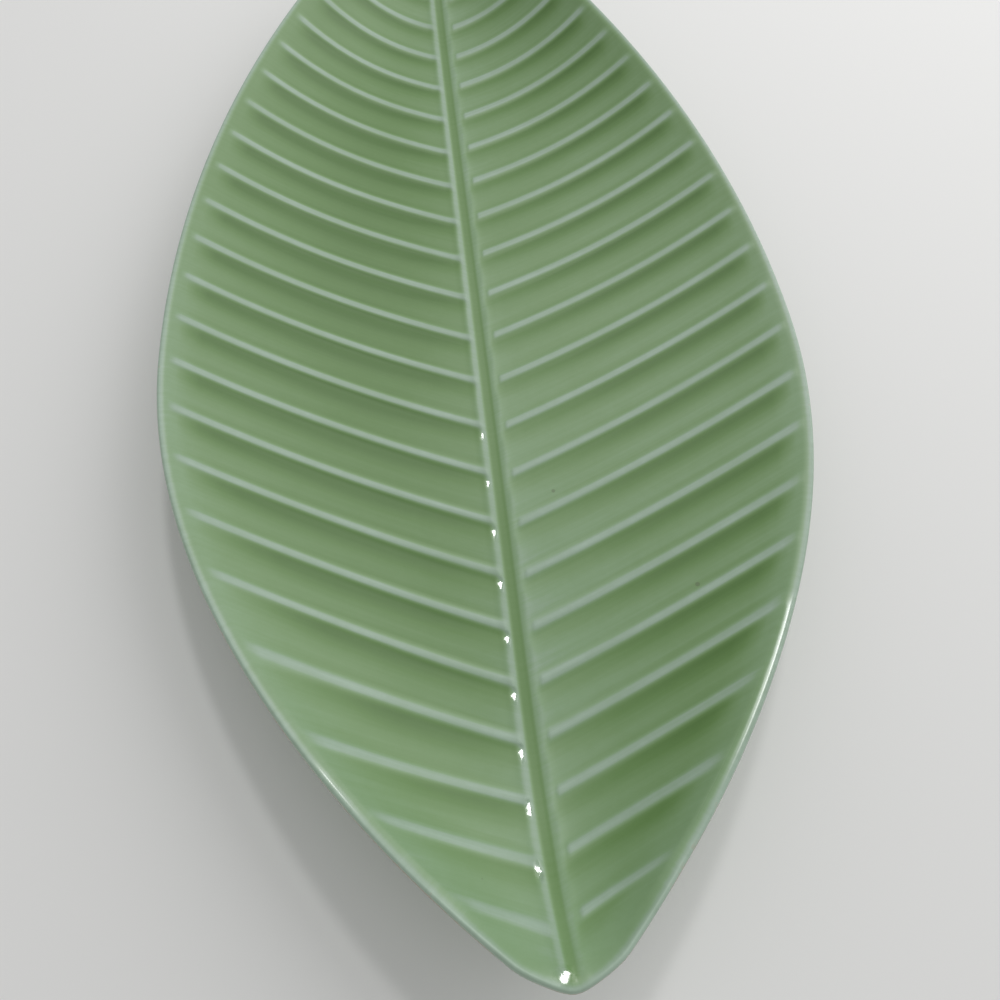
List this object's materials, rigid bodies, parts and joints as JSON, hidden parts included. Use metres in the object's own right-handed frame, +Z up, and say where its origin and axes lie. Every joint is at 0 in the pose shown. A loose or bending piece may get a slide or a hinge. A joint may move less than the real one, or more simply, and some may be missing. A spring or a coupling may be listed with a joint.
{
  "type": "leaf shaped plate",
  "caption": "Long leaf-shaped serving plate in green celadon-glazed stoneware, with a grooved midrib, raised side veins, a rounded lip and a leaf-shaped foot ring.",
  "frame": {"origin": "centre of the plate's outline, on the plane of the foot's ground face", "axes": "+Z up, +Y along the midrib towards the leaf's apex, +X to the right across the leaf"},
  "size_m": [0.172, 0.362, 0.0343],
  "materials": {
    "clay": "fired stoneware, matt",
    "bare_foot": "bare fired stoneware, ground flat",
    "celadon_face": "translucent green celadon glaze, glossy, pale where thin and dark where pooled",
    "celadon_back": "translucent green celadon glaze, glossy"
  },
  "bodies": {
    "root": {"clay_body": "clay", "foot_ring": "bare_foot", "face_glaze": "celadon_face", "back_glaze": "celadon_back"}
  },
  "joints": []
}
